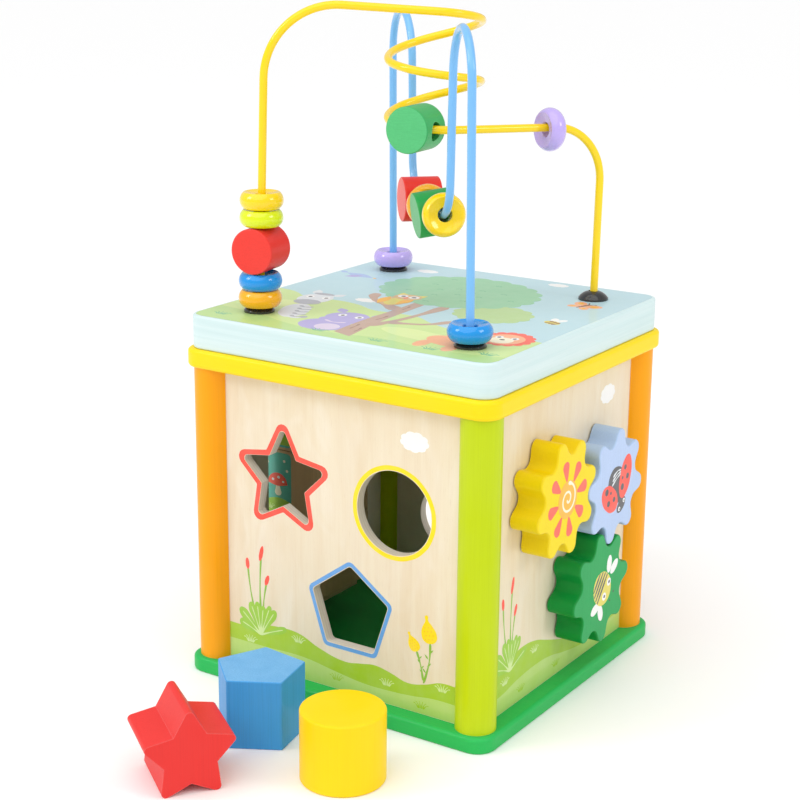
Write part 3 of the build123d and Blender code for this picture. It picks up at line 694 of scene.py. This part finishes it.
def seed_pod(print_, x, y, size, lean, foot):
    """A dotted yellow pod on a leafy stem that runs down to its foot."""
    neck = (x + 4.6 * size * sin(radians(lean)), y - 4.6 * size * cos(radians(lean)))
    knee = (neck[0] * 0.6 + foot[0] * 0.4 + 1.0 * size, neck[1] * 0.55 + foot[1] * 0.45)
    print_.draw("stem", 2, stroke([neck, knee, foot], 0.6))
    for share, side in ((0.25, 1), (0.4, -1), (0.58, 1), (0.75, -1)):
        base = (neck[0] + (foot[0] - neck[0]) * share + 0.5, neck[1] + (foot[1] - neck[1]) * share)
        print_.draw("stem", 3, leaf(base, (base[0] + side * 2.2 * size, base[1] + 2.4 * size), 0.9 * size))
    pod = [(0, -4.8), (3.6, -3.4), (4.4, 0.2), (2.6, 4.2), (0.6, 7.2), (0.9, 9.2), (-0.6, 9.4), (-1.0, 6.8)]
    pod += [(-3.2, 3.6), (-4.3, 0.0), (-3.4, -3.4)]
    print_.draw("yellow", 4, pod, at=(x, y, lean, size))
    for row in range(4):
        for column in range(3):
            spot = ((column - 1) * 2.0 + (row % 2) * 0.7 - 0.35, -2.6 + row * 2.0)
            print_.draw("amber", 5, oval(*spot, 0.55, 0.55, knots=6), at=(x, y, lean, size))


def cloud(print_, x, y, wide, high):
    """A small white cloud."""
    print_.draw("white", 1, scallops(x, y, wide, high, 9, 0.09, 12))


def flower(print_, x, y, size, ink, foot):
    """A round-petalled flower on a stem with two leaves."""
    print_.draw("stem", 2, bowed((x, y), foot, 0.9 * size, bow=(1.5 * size, 0)))
    for side in (-1, 1):
        print_.draw("leaf", 3, leaf(foot, (foot[0] + side * 7 * size, foot[1] + 9 * size), 3.4 * size))
    for number in range(6):
        print_.draw(ink, 3 + number % 2, oval(4.3, 0, 5.6, 4.4), at=(x, y, 60 * number + 15, size))
    print_.draw("yellow", 6, oval(x, y, 4.4 * size, 4.4 * size))
    print_.draw("amber", 7, oval(x, y, 2.0 * size, 2.0 * size))


def butterfly(print_, x, y, size, turn, ink, inner):
    """A butterfly seen from above."""
    place = (x, y, turn, size)
    for side in (-1, 1):
        print_.draw(ink, 3, oval(side * 4.6, 2.8, 8.4, 6.2, side * 35), at=place)
        print_.draw(inner, 4, oval(side * 4.9, 3.0, 4.2, 2.8, side * 35), at=place)
        print_.draw(ink, 3, oval(side * 3.6, -3.0, 6.2, 4.8, -side * 40), at=place)
        print_.draw(inner, 4, oval(side * 3.8, -3.2, 2.8, 2.0, -side * 40), at=place)
        feeler = stroke([(side * 0.3, 3.6), (side * 1.4, 5.6), (side * 2.8, 6.6)], 0.4)
        print_.draw("brown", 5, feeler, at=place)
    print_.draw("brown", 6, oval(0, 0, 1.7, 9.0), at=place)


def snail(print_, x, y):
    """A snail with a coiled shell."""
    body = stroke([(-9, 0.4), (-3, 0.2), (4, 0.2), (9, 2.4), (10.6, 6.2)], 3.0, 3.4)
    print_.draw("straw", 8, body, at=(x, y))
    print_.draw("amber", 9, oval(-1, 5.4, 12, 11.4), at=(x, y))
    print_.draw("brown", 10, stroke(coil(0.62, 0, 14), 0.8), at=(x - 1, y + 5.4))
    for lean in (-1.6, 1.6):
        feeler = stroke([(10.6, 7), (11 + lean / 2, 9.4), (11 + lean, 10.8)], 0.5)
        print_.draw("brown", 10, feeler, at=(x, y))


def spring_meadow(print_, ridge, near_ridge):
    """Two hills, a darker one behind a paler one, from post to post."""
    for ink, layer, line in (("meadow", 1, ridge), ("meadow_light", 2, near_ridge)):
        ends = (-meadow_reach, line[0][1]), (meadow_reach, line[-1][1])
        print_.draw(ink, layer, hill([ends[0], *line, ends[1]], floor_height))


front = face("front_print", "front_panel", (0, -1, 0))
front_ridge = [(-60, 28.4), (-48, 31), (-36, 32.6), (-24, 32), (-12, 27.4), (4, 24), (14, 25.4), (22, 26.6)]
front_ridge += [(31, 25), (41, 22.3), (51, 24), (60, 27)]
spring_meadow(
    front,
    front_ridge,
    [(-45, 19.6), (-22, 20), (0, 17), (15, 15.2), (30, 15.2), (43, 16), (56, 17.6)],
)
star_place = (-33.4, 111.9)
round_place, round_hole = (32.4, 107.6), 42.2
pentagon_place, pentagon_hole = (7.0, 51.5), 23.6
front.draw(
    "red",
    1,
    rounded(star(*star_place, 33.4, 17.0), 4.0, 1.0),
    rounded(star(*star_place, 27.9, 13.95), 2.2, 0.6),
)
front.draw(
    "yellow",
    1,
    oval(*round_place, round_hole + 5.2, round_hole + 5.2, knots=16),
    oval(*round_place, round_hole + 0.6, round_hole + 0.6, knots=16),
)
front.draw(
    "blue",
    3,
    rounded(pentagon(*pentagon_place, pentagon_hole + 2.9), 3.4),
    rounded(pentagon(*pentagon_place, pentagon_hole + 0.4), 2.2),
)
cloud(front, 43.6, 145, 16, 10)
bulrush(front, -48.3, 25.6)
seed_pod(front, 53.0, 50.6, 1.0, 10, (50.3, 24.6))
seed_pod(front, 44.6, 43.2, 0.72, 28, (50.0, 26.0))
tufts(front, (-55, 20), (-24.5, 27.0), (29, 17.6), (61, 22.6))
tufts(front, (-1, 12.6), (49, 10.8), ink="meadow", layer=4)
front.done("cube", "panel_wood")

right = face("right_print", "right_panel", (1, 0, 0))
right_ridge = [(-62, 31), (-50, 34.4), (-38, 36), (-26, 34.6), (-14, 30.6), (0, 26), (16, 22.6), (34, 22.6)]
right_ridge += [(50, 25), (60, 27)]
spring_meadow(
    right,
    right_ridge,
    [(-60, 17.4), (-44, 20), (-28, 21.2), (-12, 20.6), (6, 17), (24, 14.6), (44, 15.4), (60, 18)],
)
cloud(right, 43.2, 146, 16, 10)
bulrush(right, -51.4, 27.6)
tufts(right, (-56, 22), (-27, 28.6), (22, 19), (52, 20))
tufts(right, (-40, 12.6), (-4, 12.6), ink="meadow", layer=4)
right.done("cube", "panel_wood")

peek_place = (32.0, 46.0)
slot_place, slot_low, slot_high, slot_half = -34.0, 52.0, 132.0, 4.5


def slot_ring(margin):
    """The slot's outline, that much larger all round."""
    reach = slot_half + margin
    outline = []
    for level, start in ((slot_high - slot_half, 0), (slot_low + slot_half, 180)):
        for step in range(9):
            angle = radians(start + 22.5 * step)
            outline.append((slot_place + reach * cos(angle), level + reach * sin(angle)))
    return outline


back = face("back_print", "back_panel", (0, 1, 0))
spring_meadow(
    back,
    [(-60, 27), (-44, 24), (-26, 25), (-8, 30), (8, 34), (24, 33), (40, 28), (56, 27)],
    [(-52, 17), (-30, 20), (-8, 19), (16, 16), (38, 18), (56, 20)],
)
cloud(back, -44, 138, 18, 11)
cloud(back, 12, 146, 14, 9)
back.draw("amber", 1, oval(*peek_place, 46.4, 46.4, knots=16), oval(*peek_place, 41.0, 41.0, knots=16))
back.draw("red", 1, slot_ring(4.4), slot_ring(0.7))
flower(back, 4, 58, 1.0, "coral", (6, 33))
flower(back, 58, 50, 0.8, "lilac", (57, 27.5))
butterfly(back, -6, 104, 1.2, 20, "coral", "amber")
butterfly(back, 40, 122, 0.9, -25, "bluebird", "lilac_pale")
snail(back, -14, 29.6)
tufts(back, (-58, 24), (20, 31), (-20, 22), (48, 24))
back.done("cube", "panel_wood")

block_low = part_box("picture_block_bottom")[0] / MM
block_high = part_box("picture_block_top")[1] / MM
window_side_gap = 6.5
window_end_gap = 2


def window_frame(margin):
    """Corners of the picture blocks' window, that much larger all round."""
    aside = window_side_gap + margin
    above = window_end_gap + margin
    return corners(-block_high.y - aside, block_low.z - above, -block_low.y + aside, block_high.z + above)


left = face("left_print", "left_panel", (-1, 0, 0))
spring_meadow(
    left,
    [(-60, 22), (-40, 24), (-20, 25), (0, 24), (20, 24.6), (40, 25.4), (56, 27)],
    [(-52, 15), (-30, 17), (-8, 16), (16, 14), (38, 15.4), (56, 17)],
)
cloud(left, -46, 140, 15, 10)
cloud(left, 56, 128, 13, 9)
left.draw("blue", 3, rounded(window_frame(3.4), 6.4), rounded(window_frame(0.4), 4.2))
flower(left, -50, 62, 0.9, "coral", (-49, 22.5))
flower(left, -36, 48, 0.7, "amber", (-39, 23))
flower(left, 57, 56, 0.8, "lilac", (55, 26))
butterfly(left, -50, 104, 0.9, 15, "peach", "amber")
tufts(left, (-58, 19), (-20, 21), (12, 20), (46, 21))
left.done("cube", "panel_wood")


# ---- pictures on the turning blocks ----
def rabbit(print_, size):
    """A sitting rabbit."""
    place = (0, 0, 0, size)
    print_.draw("cream", 3, oval(-1.4, -4.4, 9.4, 10.4), at=place)
    for lean in (-14, 12):
        ear = (1.4 - lean / 8, 0, lean, size)
        print_.draw("cream", 3, oval(0, 9, 2.8, 9.4), at=ear)
        print_.draw("pink", 4, oval(0, 9, 1.2, 6.6), at=ear)
    print_.draw("cream", 5, oval(1.8, 2.0, 8.2, 7.4), at=place)
    print_.draw("pink", 6, oval(3.8, 0.8, 1.6, 1.1), at=place)
    for eye in (0.6, 4.4):
        print_.draw("charcoal", 6, oval(eye, 3.0, 1.0, 1.3), at=place)


def toadstool(print_, size):
    """A spotted toadstool."""
    place = (0, 0, 0, size)
    print_.draw("cream", 3, blade((0, 3), (0.6, -9.6), 6.0), at=place)
    cap = [(-10, 0.6, True), (-7.4, 6.4), (0, 9.6), (7.4, 6.4), (10, 0.6, True), (0, -1.4)]
    print_.draw("coral", 4, cap, at=place)
    for spot, wide in (((-4.6, 3.6), 2.6), ((1.0, 6.0), 3.0), ((5.6, 2.8), 2.2)):
        print_.draw("white", 5, oval(*spot, wide, wide * 0.8), at=place)


def hedgehog(print_, size):
    """A hedgehog that looks to the right."""
    place = (0, 0, 0, size)
    snout = [(2.4, 3.4), (7.0, 2.6), (11.4, -2.2, True), (6.6, -5.2), (1.4, -5.4)]
    print_.draw("brown", 3, scallops(-1.5, 0.4, 19, 14, 15, 0.14), at=place)
    print_.draw("tan", 4, snout, at=place)
    print_.draw("charcoal", 5, oval(11.0, -2.2, 1.8, 1.8), at=place)
    print_.draw("charcoal", 5, oval(6.6, 0.4, 1.1, 1.4), at=place)


motifs = (toadstool, hedgehog, rabbit)
backdrops = ("amber", "teal", "pink")
block_half = (block_high.x - block_low.x) / 2
picture_edge = block_half - 4.6
wrap_edge = 0.5  # a side face's picture ends just past the block's middle
for level, node in enumerate(picture_blocks):
    low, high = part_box(node)
    centre = (low + high) / 2
    tall = (high.z - low.z) / MM / 2 - 1.4
    for side, (out, left_edge, right_edge, size) in enumerate((
        (Vector((-1, 0, 0)), -picture_edge, picture_edge, 1.25),
        (Vector((0, -1, 0)), -picture_edge, wrap_edge, 0.66),
        (Vector((0, 1, 0)), -wrap_edge, picture_edge, 0.66),
    )):
        across = Vector((-out.y, out.x, 0))
        half = (right_edge - left_edge) / 2
        origin = centre + (out * block_half + across * (left_edge + right_edge) / 2) * MM
        picture = Print(f"{node}_picture_{side + 1}", across, (0, 0, 1), out, origin)
        backdrop = "teal" if side == 1 else backdrops[(level + side) % 3]
        picture.draw(backdrop, 1, rounded(corners(-half, -tall, half, tall), 2.4))
        ridge = [(-half, -tall * 0.55), (0, -tall * 0.42), (half, -tall * 0.52)]
        picture.draw("leaf", 2, hill(ridge, -tall + 1.2))
        tuft(picture, -half * 0.62, -tall * 0.8, size=0.8, layer=3)
        for spot in ((-half * 0.72, 11.6), (half * 0.7, 8.2), (half * 0.5, 13.4)):
            picture.draw("cream", 2, oval(*spot, 1.6, 1.6, knots=6))
        motifs[(level + side + 1) % 3](picture, size)
        picture.done(node, "picture_blocks")


# ---- pictures on the gears ----
def gear_print(node):
    """A print on a gear's outward face, drawn about the gear's centre."""
    joint = next(joint for joint in frame["joints"] if joint["child"] == node)
    centre = Vector(joint["pos_m"])
    centre.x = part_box(node)[1].x
    return Print(f"{node}_print", (0, 1, 0), (0, 0, 1), (1, 0, 0), centre)


sun = gear_print("yellow_gear")
for number in range(8):
    sun.draw("coral", 1, blade((8.0, 0), (19.6, 0), 5.8), at=(0, 0, 9 + 45 * number))
sun.draw("amber", 2, oval(0, 0, 19, 19))
sun.draw("cream", 3, stroke(coil(0.5, 2.6, 24), 1.2))
sun.done("yellow_gear", "gear_yellow")

beetle = gear_print("blue_gear")
beetle.draw("charcoal", 1, oval(0.6, 0.6, 18.4, 21, 38))
for reach in (3.4, 6.0, 8.6):
    band = [(-5.4 + reach * 0.2, -1.4 + reach * 0.86), (0.2 + reach * 0.1, 2.0 + reach * 0.7)]
    beetle.draw("silver", 2, stroke([*band, (4.6, 4.4 + reach * 0.4)], 0.6, 0.4))
beetle.draw("charcoal", 2, oval(6.4, -11.4, 10.4, 6.4, 32))
for length, *wing_case in ((20.5, -6.8, -5.0, -36), (23, 10.0, 3.0, 74)):
    beetle.draw("red", 3, oval(0, 0, length, 12.4), at=wing_case)
    for spot, wide in (((-5.6, 1.6), 3.6), ((0.2, -2.4), 3.2), ((4.6, 1.8), 2.8), ((-1.0, 3.0), 1.8)):
        beetle.draw("charcoal", 4, oval(*spot, wide, wide), at=wing_case)
for place in ((4.4, -13.2), (9.4, -9.8)):
    beetle.eye(4, place, (2.4, 2.4), (1.0, 1.0), (0.2, -0.2))
beetle.done("blue_gear", "gear_blue")

bee = gear_print("green_gear")
for wing, wing_turn in (((7.6, 11.2), 84), ((13.2, 8.2), 34), ((-6.6, -9.2), 18), ((-0.6, -13.0), 108)):
    bee.draw("white", 1, oval(*wing, 9.4, 5.2, wing_turn))
bee_length, bee_width = 20.4, 17.4
bee_place = (0.6, -0.2, -38)
bee.draw("straw", 2, oval(0, 0, bee_length, bee_width), at=bee_place)
for along in (-7.8, -5.2, -2.6, 0.0):
    stripe = 17.0 * (1 - (along / (bee_length / 2)) ** 2) ** 0.5
    bee.draw("charcoal", 3, oval(along, 0, 1.5, stripe), at=bee_place)
for place in ((7.8, 1.4), (3.0, -5.2)):
    bee.eye(4, place, (4.2, 4.2), (1.8, 1.8), (0.2, 0))
for feeler in ((13.4, -5.6), (9.6, -9.4)):
    bee.draw("charcoal", 3, oval(*feeler, 1.2, 1.2))
bee.done("green_gear", "gear_green")


# ---- picture on the lid ----
lid_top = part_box("lid_board")[1]
lid = Print("lid_print", (1, 0, 0), (0, 1, 0), (0, 0, 1), (0, 0, lid_top.z))
sheet = lid_top.x / MM - 1.7
lid.draw("sky", 0, rounded(corners(-sheet, -sheet, sheet, sheet), 7.4))
low_edge = [(sheet, -79, True), (sheet - 2, -sheet + 2), (79, -sheet, True)]
low_edge += [(-79, -sheet, True), (-sheet + 2, -sheet + 2), (-sheet, -79, True)]


def lid_ground(ink, layer, ridge):
    """Ground from a ridge down to the lid's front edge and its rounded corners."""
    lid.draw(ink, layer, [(*ridge[0], True), *ridge[1:-1], (*ridge[-1], True), *low_edge])


lid_ridge = [(-sheet, -12), (-76, -13.6), (-60, -22), (-44, -19), (-30, -21), (-16, -27), (-2, -26)]
lid_ridge += [(10, -27), (22, -34), (40, -40), (58, -39), (74, -36), (sheet, -38)]
lid_ground("lid_meadow", 1, lid_ridge)
hollow = [(-sheet, -62), (-60, -66), (-36, -74), (-10, -78), (20, -74), (52, -78), (sheet, -72)]
lid_ground("lid_hollow", 2, hollow)
lid.draw("lid_glow", 2, oval(-64, -40, 30, 15, 12))
lid.draw("lid_glow", 2, oval(30, -58, 44, 15, -8))
for place, wide in (((-45.4, 69.5), 13), ((31.5, 79.0), 12), ((-32.0, -10.5), 13)):
    cloud(lid, *place, wide, wide * 0.6)

trunk = [(-8.4, 0, True), (-8.0, -24), (-8.2, -50), (-6.6, -75, True), (5.0, -79, True)]
trunk += [(0.8, -50), (-0.8, -24), (-1.8, 0, True)]
lid.draw("bark", 4, trunk)
lid.draw("bark", 5, stroke([(-6, -20), (-20, -12), (-30, -6), (-37, 6)], 4.4, 3.0))
lid.draw("bark", 5, stroke([(-1, -56), (5, -42), (8.4, -22), (10.4, 0)], 3.8, 3.0))
lid.draw("bark", 6, stroke([(3, -45), (14, -42), (22, -38), (30, -26)], 3.2, 2.4))
bark_marks = [((-5.6, -10), (-5.0, -18)), ((-3.0, -34), (-3.6, -44))]
bark_marks += [((-4.8, -56), (-3.6, -66)), ((0.4, -62), (1.6, -70))]
for mark in bark_marks:
    lid.draw("bark_dark", 7, bowed(*mark, 0.6, 0.3, (0.4, 0)))
lid.draw("crown_light", 7, scallops(37.5, -0.5, 42, 37, 13, 0.07, 8))
lid.draw("crown", 8, scallops(-3.0, 34.0, 90, 73, 21, 0.05, 4))
for number in range(16):
    turn = radians(137.5 * number)  # the golden angle spreads the marks evenly
    reach = 5 + 2.0 * number
    spot = (-3 + reach * 1.05 * cos(turn), 35 + reach * 0.86 * sin(turn))
    lid.draw("crown_mark", 9, bowed(spot, (spot[0] + 3.6, spot[1]), 0.8, 0.4, (0, 1.1)))

# An owl on the left branch.
lid.draw("tan", 10, oval(-19.5, -3.0, 14, 22, 12))
lid.draw("straw", 11, oval(-19.0, -4.4, 9.6, 16, 12))
lid.draw("amber", 12, leaf((-26.6, 4.0), (-24.2, -12.4), 6.0))
lid.draw("amber", 12, leaf((-13.0, 6.0), (-14.6, -10.0), 5.4))
for side in (-1, 1):
    lid.draw("straw", 12, leaf((-18.2 + side * 2.6, 6.2), (-18.2 + side * 7.4, 15.0), 5.4))
lid.draw("tan", 12, oval(-18.2, 7.4, 15.6, 11.6, 6))
for side in (-1, 1):
    lid.eye(13, (-18.2 + side * 3.4, 8.2), (5.6, 5.6), (2.6, 2.6), (0.2 - side * 0.2, -0.2))
lid.draw("coral", 14, leaf((-18.2, 6.8), (-18.0, 3.4), 2.4))

# A striped pony by the left edge.
lid.draw("silver", 4, oval(-48.4, -50, 15, 30, 22))
for step in range(5):
    rib = (-52 + step * 2.2, -40 - step * 5)
    lid.draw("grey", 5, stroke([rib, (rib[0] + 3.4, rib[1] - 1.4), (rib[0] + 7.4, rib[1] + 0.8)], 1.6, 0.7))
lid.draw("silver", 4, stroke([(-45, -58), (-40, -63), (-36.5, -60)], 2.6, 2.2))
lid.draw("grey", 6, oval(-36.2, -59.4, 4.2, 4.4))
for side, top in ((-1, 2.4), (1, 0)):
    lid.draw("silver", 6, leaf((-56.5 + side * 5, -14), (-56.5 + side * 9.4, -6.5 + top), 5.4))
lid.draw("silver", 7, oval(-56.0, -22.0, 18, 22, 8))
lid.draw("grey", 8, oval(-54.6, -31.0, 15, 10.6, 4))
lid.draw("grey", 8, oval(-57.6, -11.6, 12, 4.4, 6))
for place in ((-60.6, -20), (-51.6, -18.6)):
    lid.eye(9, place, (4.2, 4.8), (2.0, 2.4), (0.3, -0.3))

# A purple calf behind the trunk.
for side in (-1, 1):
    lid.draw("lilac", 2, leaf((-17 + side * 8, -40), (-17 + side * 15, -33), 5.6))
lid.draw("lilac", 2, oval(-18.6, -66, 27, 23))
lid.draw("lilac_pale", 3, oval(-15.0, -69, 13, 12))
lid.draw("lilac", 3, oval(-18.0, -47.4, 23, 20))
lid.draw("lilac", 3, oval(-18.0, -55.0, 22, 12))
lid.draw("lilac_pale", 3, stroke([(-24, -57.6), (-18, -59.8), (-12, -57.6)], 0.9))
for place in ((-22.6, -45), (-12.6, -45)):
    lid.eye(3.6, place, (4.4, 4.8), (2.0, 2.4), (0.3, -0.2), step=0.3)

# A big cat with a peach mane by the right edge.
lid.draw("peach", 3, oval(49, -60, 26, 17, -14))
for leg in ((40, -70), (56, -71)):
    lid.draw("peach", 3, oval(*leg, 7, 13))
lid.draw("coral", 4, scallops(69, -41, 27, 27, 15, 0.08))
lid.draw("peach", 5, oval(68.4, -42, 19, 19.6))
lid.draw("cream", 6, oval(67.6, -44.6, 12.4, 11))
for place in ((64.0, -39.6), (72.0, -39.0)):
    lid.eye(7, place, (4.0, 4.4), (1.9, 2.3), (0, -0.2))
lid.draw("charcoal", 7, oval(67.6, -43.4, 2.8, 2.0))

# Small flyers, and tufts along the front.
lid.draw("bluebird", 1, leaf((-80, 41), (-60, 37), 7.4))
lid.draw("bluebird", 1, leaf((-80, 41), (-86, 44), 3.4))
lid.draw("lilac", 2, leaf((-68, 39), (-76, 32.4), 5.0))
lid.draw("amber", 2, leaf((-60.6, 37.4), (-57.4, 36.4), 1.4))
butterfly(lid, 65.6, 42, 1.05, -20, "peach", "amber")
for wing in (60, 110):
    lid.draw("white", 2, oval(4.4, 0, 7.2, 4.0), at=(70.2, 2.2, wing))
small_bee = (70.2, 0.6, -20)
lid.draw("straw", 3, oval(0, 0, 9.4, 6.2), at=small_bee)
for stripe in (-2.2, 0.2, 2.6):
    lid.draw("brown", 4, bowed((stripe, -2.6), (stripe, 2.6), 1.0, bow=(0.4, 0)), at=small_bee)
lid_tufts = ((49, -79), (76, -73), (-74, -78), (-14, -79), (20, -80))
tufts(lid, *lid_tufts, size=1.3, ink="crown_mark", layer=4)
lid.done("lid", "lid_mint")


# ---- floor, light and camera ----
floor_reach = 60
floor_mesh = bpy.data.meshes.new("floor")
ground = bmesh.new()
bmesh.ops.create_grid(ground, x_segments=1, y_segments=1, size=floor_reach)
bmesh.ops.translate(ground, vec=(0, 0, cad_box[0][2]), verts=ground.verts)
ground.to_mesh(floor_mesh)
ground.free()
floor_piece = bpy.data.objects.new("floor", floor_mesh)
scene.collection.objects.link(floor_piece)
paper = Paint("floor_paper", {"Specular IOR Level": 0.2})
speck = paper.noise((4, 4, 4), detail=2.0)
paper_white = paper.mix(speck * 0.2, srgb(254, 254, 254), srgb(251, 251, 251))
floor_mesh.materials.append(paper.finish(paper_white, 0.7 + 0.1 * speck))

sky_light = 0.66
world = bpy.data.worlds.new("studio")
world.use_nodes = True
sky = Nodes(world.node_tree)
seen_directly = sky.node("ShaderNodeLightPath", output="Is Camera Ray")
sky_strength = sky.maths("MAXIMUM", seen_directly, sky_light)
sky.feed(world.node_tree.nodes["Background"], {"Color": (1, 1, 1), "Strength": sky_strength})
scene.world = world


def lamp(kind, name, place, aim, **settings):
    """A studio light at its place, pointed at the toy."""
    light = bpy.data.lights.new(name, kind)
    for setting, value in settings.items():
        setattr(light, setting, value)
    holder = bpy.data.objects.new(name, light)
    holder.location = place
    holder.rotation_euler = (Vector(aim) - Vector(place)).to_track_quat("-Z", "Y").to_euler()
    scene.collection.objects.link(holder)


toy_middle = (0, 0, cad_box[1][2] / 2)
lamp("SUN", "overhead_light", (0.05, -0.7, 1.5), toy_middle, energy=1.3, angle=radians(75))
lamp("AREA", "left_light", (-0.95, -1.05, 1.1), toy_middle, size=0.5, energy=5)
lamp("AREA", "right_light", (1.35, 0.1, 1.0), toy_middle, size=0.46, energy=4)

camera_turn = radians(33.2)
camera_rise = radians(15.89)
camera_roll = radians(0.5)
camera_distance = 0.902
camera_aside = -0.0148
camera_aim_height = 0.1393
sideways = Vector((cos(camera_turn), sin(camera_turn), 0))
level_back = Vector((sin(camera_turn), -cos(camera_turn), 0))
backward = level_back * cos(camera_rise) + Vector((0, 0, sin(camera_rise)))
upward = backward.cross(sideways)
aim = sideways * camera_aside + Vector((0, 0, camera_aim_height))
camera_data = bpy.data.cameras.new("camera")
camera_data.sensor_width = 36
camera_data.lens = 78.5475
camera_data.clip_end = 50
camera = bpy.data.objects.new("camera", camera_data)
pose = Matrix((
    sideways * cos(camera_roll) + upward * sin(camera_roll),
    upward * cos(camera_roll) - sideways * sin(camera_roll),
    backward,
)).transposed().to_4x4()
pose.translation = aim + backward * camera_distance
camera.matrix_world = pose
scene.collection.objects.link(camera)
scene.camera = camera
scene.view_settings.view_transform = "Standard"
